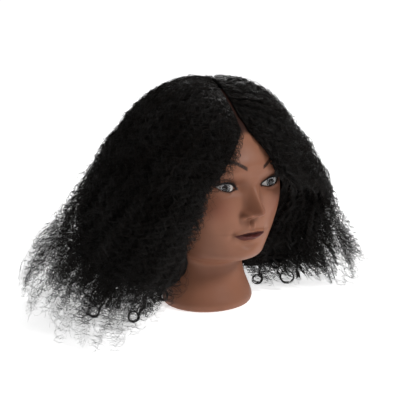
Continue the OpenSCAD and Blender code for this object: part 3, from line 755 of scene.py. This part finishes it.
def section_strands(
    seed, side, b_range, t_range, clumps, per_clump, count, run, radius,
    spread, jitter, drift, own_drift, big, slim, crimped,
):
    """Strand paths of one section, in clumps that share their wave, and their radii.

    run is the earliest and latest start and end of a strand, and the rest a row of LOOKS."""
    rng = np.random.default_rng(seed)
    gap = FACE_GAP[side]

    def per(values):
        return np.repeat(values, per_clump)

    n = clumps * per_clump
    cb = per(rng.uniform(*b_range, clumps))
    ct = per(t_range[0] + (t_range[1] - t_range[0]) * rng.uniform(0, 1, clumps) ** 0.6)
    b = np.clip(cb + rng.normal(0, spread, n), max(b_range[0] - 0.5, gap), min(b_range[1] + 0.5, 179.8))
    t = np.clip(ct + rng.normal(0, spread * 0.022, n), 0.02, 1.05)
    # clumps side by side wave nearly together
    phase = 2.2 * np.sin(cb * 0.35 + 5 * ct) + 1.7 * np.sin(cb * 0.13 + 2.0)
    phase = phase + per(rng.normal(0, 0.8, clumps)) + rng.normal(0, jitter, n)
    wave = per(rng.uniform(0.8, 1.25, clumps)) * rng.normal(1, 0.01 + 0.02 * jitter, n)
    size = big * per(rng.uniform(0.65, 1.4, clumps)) * rng.normal(1, 0.04 + 0.1 * jitter, n)
    hand = per(rng.choice([-1.0, 1.0], clumps))
    s0 = run[0] + (run[1] - run[0]) * per(rng.uniform(0, 1, clumps))
    late = np.clip(per(rng.uniform(0, 1, clumps)) + rng.normal(0, 0.1, n), 0, 1)
    s1 = mix(run[2], run[3], late)
    s = s0[:, None] + (s1 - s0)[:, None] * np.linspace(0, 1, count)[None]

    inward = 1 - slim * smooth((s - 0.45) / 0.4)
    t = t[:, None] * inward
    guide = hair_points(side, b[:, None], s, t)
    lift = hair_points(side, b[:, None], s, t + 0.1) - guide
    along = unit(np.gradient(guide, axis=1))
    across = unit(np.cross(along, unit(lift + 1e-6)))
    normal = np.cross(across, along)
    step = np.linalg.norm(np.diff(guide, axis=1), axis=-1)
    wavelength = curve(CURL, s, 1) * wave[:, None]
    turns = np.concatenate([np.zeros((n, 1)), np.cumsum(step / wavelength[:, 1:], 1)], 1)
    amp = curve(CURL, s, 2) * size[:, None]
    angle = phase[:, None] + 2 * np.pi * turns
    # towards the ends the coils lean over, so that some of them are seen as rings
    lean = (per(rng.uniform(0, 1.5, clumps))[:, None] * smooth((s - 0.68) / 0.15))[..., None]
    second = normal * np.cos(lean) * mix(0.6, 1.0, smooth((s - 0.7) / 0.15))[..., None] + along * np.sin(lean)
    loose = smooth(s / 0.9)[..., None] * np.array([1.0, 1.0, 0.6])
    crimp = crimped * smooth((s - s[:, :1]) / 0.1) * rng.uniform(0.5, 1.5, (n, 1))
    reached = np.cumsum(np.concatenate([np.zeros((n, 1)), step], 1), 1)
    ripple = 2 * np.pi * reached / CRIMP_LENGTH + rng.uniform(0, 7, (n, 1))
    path = (
        guide
        + across * (amp * np.sin(angle))[..., None]
        + second * (amp * np.cos(angle) * hand[:, None])[..., None]
        + across * (crimp * np.sin(ripple))[..., None]
        + normal * (crimp * np.cos(0.8 * ripple))[..., None]
        + np.repeat(wander(rng, clumps, count), per_clump, 0) * drift * loose
        + wander(rng, n, count) * own_drift * loose
    )
    path[..., 0] = np.sqrt(np.maximum(path[..., 0], 0) ** 2 + parting(path[..., 1]) ** 2)
    z, ease = path[..., 2], 3
    low = LOWEST + ease
    path[..., 2] = np.where(z < low, LOWEST + ease * np.exp((z - low) / ease), z)
    path[..., 0] *= side
    path = settle(path)
    k = np.linspace(0, 1, count)[None]
    return path, radius * rng.uniform(0.75, 1.3, n)[:, None] * (1 - 0.55 * k**3)


FACE_LIMIT = 185000  # triangles in one piece of hair


def strand_pieces(name, paths, radii, materials, node=None):
    """Pieces of hair from strand paths, each with the tints in turn, of a modest size."""
    per_strand = 6 * paths.shape[1]  # triangles in a three-sided tube
    count = math.ceil(len(paths) * per_strand / FACE_LIMIT)
    for k in range(count):
        some, r = paths[k::count], radii[k::count]
        points, quads, tris = tubes(some, r)
        tint = np.arange(len(some)) % len(materials)
        slots = np.concatenate([
            np.repeat(tint, len(quads) // len(some)), np.repeat(tint, len(tris) // len(some)),
        ])
        ob = new_mesh(f"{name}_{k + 1}", points, quads, tris, materials, slots)
        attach(ob, "root")
        if node and k == 0:
            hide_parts(node)


# The sections of the hair, as in the CAD: first and last column, and share of the thickness.
HAIR_COLS = 15
HAIR_SECTIONS = {
    "front": (0, 4, 0.5, 1.0),
    "side": (4, 9, 0.5, 1.0),
    "back": (9, 15, 0.5, 1.0),
    "temple": (0, 6, 0.03, 0.5),
    "nape": (6, 15, 0.03, 0.5),
}
# How far the strands run on past the common end of a section, on the left and on the right.
LEFT_RUN_ON = 0.045
RIGHT_RUN_ON = {"front": 0.015, "side": 0.004, "back": -0.014, "temple": 0.01, "nape": -0.01}

# Thick curls that end in a ring: column's bearing, share of the thickness, end of the run,
# radius of the ring, and the heading it opens towards, in degrees.
RINGS = {
    -1: [(60.0, 0.8, 0.96, 6.5, 33.0)],
    1: [(41.5, 0.32, 0.975, 9.0, -33.0), (41.0, 0.14, 0.975, 6.5, 147.0)],
}


def ring_curl(rng, side, b, t, s_end, ring_r, heading):
    """Strands of one curl that hangs down and closes in a ring."""
    strands, count, turns = 12, 60, 1.3
    s = np.linspace(0.45, s_end, count)
    guide = hair_points(side, b, s, t * (1 - 0.15 * smooth((s - 0.5) / 0.4)))
    along = unit(np.gradient(guide, axis=0))
    radial = unit(guide * np.array([1.0, 1.0, 0.0]))
    across = unit(np.cross(along, radial))
    sway = 2 * np.pi * np.linspace(0, 9, count)
    size = 2.4 * smooth((s - 0.5) / 0.25) * smooth((s_end - s) / 0.05)
    stem = guide + across * (size * np.sin(sway))[:, None] + radial * (size * np.cos(sway))[:, None]
    facing = math.radians(heading)
    out = np.array([math.cos(facing), math.sin(facing), 0.0])
    down = unit(along[-1] - out * (along[-1] @ out))
    theta = np.linspace(0, 2 * np.pi * turns, 46)[1:, None]
    ring = stem[-1] + out * ring_r * (1 - np.cos(theta)) + down * ring_r * np.sin(theta)
    ring = ring + np.cross(out, down) * 0.5 * theta
    spine = np.concatenate([stem, ring])
    n = len(spine)
    loose = rng.normal(0, 0.55, (strands, 1, 3)) + 0.35 * wander(rng, strands, n)
    path = spine[None] + loose * (1 + 1.2 * np.linspace(1, 0, n))[None, :, None]
    path[..., 0] *= side
    k = np.linspace(0, 1, n)[None]
    radii = 0.3 * rng.uniform(0.8, 1.25, strands)[:, None] * (1 - 0.5 * k**4)
    return settle(path), radii


def build_hair():
    tints = [
        hair_material("hair_black", (0.0040, 0.0035, 0.0031), 0.46, 0.24),
        hair_material("hair_brown_black", (0.0085, 0.0056, 0.0041), 0.52, 0.20),
        hair_material("hair_soft_black", (0.0060, 0.0050, 0.0042), 0.45, 0.28),
    ]
    for number, (part, (c0, c1, t0, t1)) in enumerate(HAIR_SECTIONS.items()):
        under = part in ("temple", "nape")
        width = (c1 - c0) / 5  # the numbers of clumps below are for five columns
        begin = (0.30, 0.42) if under else (0.004, 0.02)
        for side, word in ((-1, "right"), (1, "left")):
            seed = 100 * number + (7 if side < 0 else 0)
            b_range = [mix(FACE_GAP[side], 180, c / HAIR_COLS) for c in (c0, c1)]
            name = f"hair_{part}_{word}"
            more = LEFT_RUN_ON if side > 0 else RIGHT_RUN_ON[part]
            tucked = (max(b_range[0], FACE_GAP[side] + 4), b_range[1])
            body = section_strands(
                seed + 1, side, b_range, (t0, t1), int((9 if under else 27) * width), 7, 110,
                (*begin, 0.84 + more, 0.97 + more), 0.42, **LOOKS["body"],
            )
            strand_pieces(name + "_body", *body, tints, name)
            ringlets = section_strands(
                seed + 2, side, tucked, (t0, t1), int((18 if under else 34) * width), 6, 92,
                (0.40, 0.55, 0.86 + more, 0.99 + more), 0.36, **LOOKS["ringlets"],
            )
            strand_pieces(name + "_ringlets", *ringlets, tints)
            outer = (mix(t0, t1, 0.35), t1 + 0.05)
            frizz = section_strands(
                seed + 3, side, b_range, outer, int((36 if under else 100) * width), 3, 74,
                (0.2, 0.6, 0.82 + more, 0.995 + more), 0.2, **LOOKS["frizz"],
            )
            strand_pieces(name + "_frizz", *frizz, tints)
            if not under:
                fuzz = section_strands(
                    seed + 4, side, b_range, (0.85, 1.12), int(130 * width), 2, 56,
                    (0.01, 0.4, 0.25, 0.62), 0.2, **LOOKS["fuzz"],
                )
                strand_pieces(name + "_fuzz", *fuzz, tints)
    for side, word in ((-1, "right"), (1, "left")):
        rng = np.random.default_rng(70 + side)
        bearings = np.linspace(FACE_GAP[side] + 8, 172, 16) + rng.uniform(-3, 3, 16)
        rings = [
            (b, rng.uniform(0.2, 0.8), rng.uniform(0.92, 0.98), rng.uniform(4.0, 7.0), rng.uniform(0, 360))
            for b in bearings
        ]
        rings += RINGS[side]
        ringed = [ring_curl(rng, side, *ring) for ring in rings]
        paths, radii = (np.concatenate(part) for part in zip(*ringed))
        strand_pieces(f"hair_ring_curls_{word}", paths, radii, tints)


def build_mass():
    """The dark inside of the hair, a ridged solid on each side, which the strands cover."""
    rows, cols = 120, 260
    n = Nodes("hair_inside")
    streak = n.add("ShaderNodeCombineXYZ")
    n.put(streak.inputs["X"], n.maths("MULTIPLY", n.attribute("lock"), 2.6))
    n.put(streak.inputs["Y"], n.maths("MULTIPLY", n.attribute("run"), 9.0))
    threads = n.noise(1.0, 6.0, streak.outputs[0], 0.75)
    n.set(
        Base_Color=n.ramp(threads, [(0.35, (0.003, 0.0026, 0.0024)), (0.7, (0.0085, 0.0068, 0.0058))]),
        Roughness=n.span(threads, 0.3, 0.7, 0.6, 0.85),
    )
    n.shader.inputs["Specular IOR Level"].default_value = 0.12
    n.bump(threads, 1.0, 0.004)
    for side, word in ((-1, "right"), (1, "left")):
        rng = np.random.default_rng(900 + side)
        grid_b = np.linspace(FACE_GAP[side] + 1.5, 179.9, cols)
        ends = 0.88 + 0.02 * np.sin(grid_b * 0.5) + 0.02 * np.sin(grid_b * 1.7 + 1)
        ends = ends + rng.uniform(-0.01, 0.01, cols)
        ss = 0.004 + np.linspace(0, 1, rows)[:, None] * (ends[None] - 0.004)
        bb = np.broadcast_to(grid_b[None], ss.shape)
        reach = curve([[0, 0.72], [0.3, 0.74], [0.5, 0.66], [0.7, 0.52], [0.86, 0.36], [1, 0.3]], ss, 1)
        edge = smooth((bb - FACE_GAP[side] - 1.0) / 9)
        lock = bb + 0.8 * np.sin(ss * 38 + 2.2 * np.sin(bb * 0.35)) * smooth(ss / 0.15)
        ridges = sum(
            rng.uniform(0.5, 1.0) * np.sin(lock * f + rng.uniform(0, 6)) / (f**0.7)
            for f in (0.35, 0.8, 1.3, 1.9, 2.7, 3.6)
        )
        outer = hair_points(side, bb, ss, (reach + 0.02 * ridges * smooth(ss / 0.12)) * mix(0.5, 1.0, edge))
        inner = hair_points(side, bb, ss, 0.02)
        for grid in (outer, inner):
            grid[..., 0] = side * np.maximum(grid[..., 0], parting(grid[..., 1]))
            grid[..., 2] = np.maximum(grid[..., 2], 6.0)
            grid[:] = settle(grid)
        half = rows * cols
        i, j = np.arange(rows - 1), np.arange(cols - 1)
        left, right, low = i * cols, i * cols + cols - 1, (rows - 1) * cols + j
        quads = np.concatenate([
            grid_quads(rows, cols, False)[:, ::-1],
            grid_quads(rows, cols, False, half),
            np.stack([left, left + cols, left + cols + half, left + half], -1),
            np.stack([right, right + half, right + cols + half, right + cols], -1),
            np.stack([j, j + half, j + 1 + half, j + 1], -1),
            np.stack([low, low + 1, low + 1 + half, low + half], -1),
        ])
        if side > 0:
            quads = quads[:, ::-1]
        points = np.concatenate([outer.reshape(-1, 3), inner.reshape(-1, 3)])
        ob = new_mesh(f"hair_inside_{word}", points, quads, [], [n.mat])
        add_attribute(ob, "lock", np.concatenate([lock.ravel()] * 2))
        add_attribute(ob, "run", np.concatenate([ss.ravel()] * 2))
        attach(ob, "root")


def build_lashes():
    tint = hair_material("lash_black", (0.006, 0.005, 0.005), 0.5, 0.4)
    for side, word in ((-1, "right"), (1, "left")):
        for level, count, reach in (("upper", 64, 8.5), ("lower", 40, 4.2)):
            rng = np.random.default_rng(40 + side + count)
            up = level == "upper"
            u = np.linspace(-0.97, 0.99, count) + rng.normal(0, 0.01, count)
            x = u * (LID_HALF - 0.4)
            edge = lid_edges(x)[0 if up else 1] + (0.25 if up else -0.25)
            y = -np.sqrt(np.clip((EYE_R + 0.9) ** 2 - x**2 - edge**2, 0, None))
            root = np.stack([x, y, edge], -1)
            k = np.linspace(0, 1, 7)[None, :, None]
            long = reach * (0.55 + 0.45 * smooth((u + 1) / 1.2)) * rng.uniform(0.75, 1.1, count)
            out = np.stack([0.35 * u + 0.12, -0.9 + 0 * u, (0.12 if up else -0.35) + 0 * u], -1)
            bend = np.stack([0.15 * u, 0.1 + 0 * u, (0.85 if up else -0.3) + 0 * u], -1)
            path = root[:, None] + long[:, None, None] * (out[:, None] * k + bend[:, None] * k**2 * 0.6)
            c, s = math.cos(math.radians(LID_SLANT)), math.sin(math.radians(LID_SLANT))
            path = path @ np.array([[c, 0, s], [0, 1, 0], [-s, 0, c]])
            path[..., 0] *= side
            path += np.array([side * EYE_X, EYE_Y, EYE_Z])
            radii = np.repeat((0.24 if up else 0.15) * (1 - 0.85 * k[..., 0] ** 1.5), count, 0)
            p, q, c = tubes(path, radii, 4)
            ob = new_mesh(f"{word}_{level}_lash_hairs", p, q, c, [tint])
            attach(ob, "root")
            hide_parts(f"{word}_{level}_lashes")


def give(node, material):
    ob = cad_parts[node]
    ob.data.materials.clear()
    ob.data.materials.append(material)


def dress_cad():
    give("foam_core", moulded("rigid_foam", (0.62, 0.52, 0.28), 0.8, 1600.0, 0.0004))
    give("root_seal", moulded("root_latex", (0.42, 0.30, 0.17), 0.6, 500.0, 0.0003))
    give("base_plate", moulded("base_abs", (0.022, 0.020, 0.020), 0.45))
    give("post_socket", moulded("socket_abs", (0.012, 0.012, 0.012), 0.35))
    give("base_screws", steel_material())
    white, clear = eye_white_material(), clear_material()
    for word in ("right", "left"):
        give(f"{word}_eyeball", white)
        give(f"{word}_iris", iris_material(word))
        give(f"{word}_cornea", clear)


# ---- stage ----
def lamp(name, at, target, size, watts):
    data = bpy.data.lights.new(name, "AREA")
    data.shape = "DISK"
    data.size = size
    data.energy = watts
    ob = bpy.data.objects.new(name, data)
    bpy.context.scene.collection.objects.link(ob)
    ob.location = at
    ob.rotation_euler = (Vector(target) - Vector(at)).to_track_quat("-Z", "Y").to_euler()


def build_stage():
    me = bpy.data.meshes.new("floor")
    r = 6.0
    me.from_pydata([(-r, -r, 0), (r, -r, 0), (r, r, 0), (-r, r, 0)], [], [(0, 1, 2, 3)])
    floor = bpy.data.objects.new("floor", me)
    bpy.context.scene.collection.objects.link(floor)
    n = Nodes("pale_floor")
    n.set(Base_Color=(0.93, 0.93, 0.93, 1.0), Roughness=0.9)
    n.shader.inputs["Emission Color"].default_value = (1.0, 1.0, 1.0, 1.0)
    parts = n.add("ShaderNodeSeparateXYZ")
    n.tree.links.new(n.place(), parts.inputs[0])
    across = n.maths("MULTIPLY", parts.outputs["X"], parts.outputs["X"])
    away = n.maths("ADD", across, n.maths("MULTIPLY", parts.outputs["Y"], parts.outputs["Y"]))
    n.set(Emission_Strength=n.span(away, 0.3, 4.0, 0.72, 0.95))
    me.materials.append(n.mat)

    world = bpy.context.scene.world or bpy.data.worlds.new("studio")
    bpy.context.scene.world = world
    world.use_nodes = True
    tree = world.node_tree
    back = tree.nodes.get("Background")
    back.inputs["Color"].default_value = (1.0, 1.0, 1.0, 1.0)
    seen = tree.nodes.new("ShaderNodeLightPath").outputs["Is Camera Ray"]
    share = tree.nodes.new("ShaderNodeMapRange")
    share.inputs["To Min"].default_value = 0.12
    share.inputs["To Max"].default_value = 1.0
    tree.links.new(seen, share.inputs["Value"])
    tree.links.new(share.outputs["Result"], back.inputs["Strength"])
    bpy.context.scene.view_settings.view_transform = "Standard"

    lamp("key", (0.5, -1.5, 1.3), (0, -0.05, 0.15), 0.45, 22)
    lamp("top", (-0.4, -0.2, 1.9), (0, 0, 0.2), 1.0, 7)
    lamp("back_light", (1.1, 1.1, 0.9), (0, 0, 0.2), 0.8, 15)


def build_camera():
    a, e = math.radians(-33.0), math.radians(14.0)
    distance, view_width = 1.5, 0.54054  # metres; the width is what the camera sees at the aim
    right = Vector((math.cos(a), math.sin(a), 0))
    up = Vector((-math.sin(a) * math.sin(e), math.cos(a) * math.sin(e), math.cos(e)))
    back = Vector((math.sin(a) * math.cos(e), -math.cos(a) * math.cos(e), math.sin(e)))
    aim = right * -0.00946 + up * 0.13378
    data = bpy.data.cameras.new("camera")
    data.sensor_width = 36.0
    data.lens = distance * data.sensor_width / view_width
    ob = bpy.data.objects.new("camera", data)
    bpy.context.scene.collection.objects.link(ob)
    ob.location = aim + back * distance
    ob.rotation_euler = (-back).to_track_quat("-Z", "Y").to_euler()
    bpy.context.scene.camera = ob


build_camera()
build_stage()
dress_cad()
build_skin()
build_lashes()
build_mass()
build_hair()
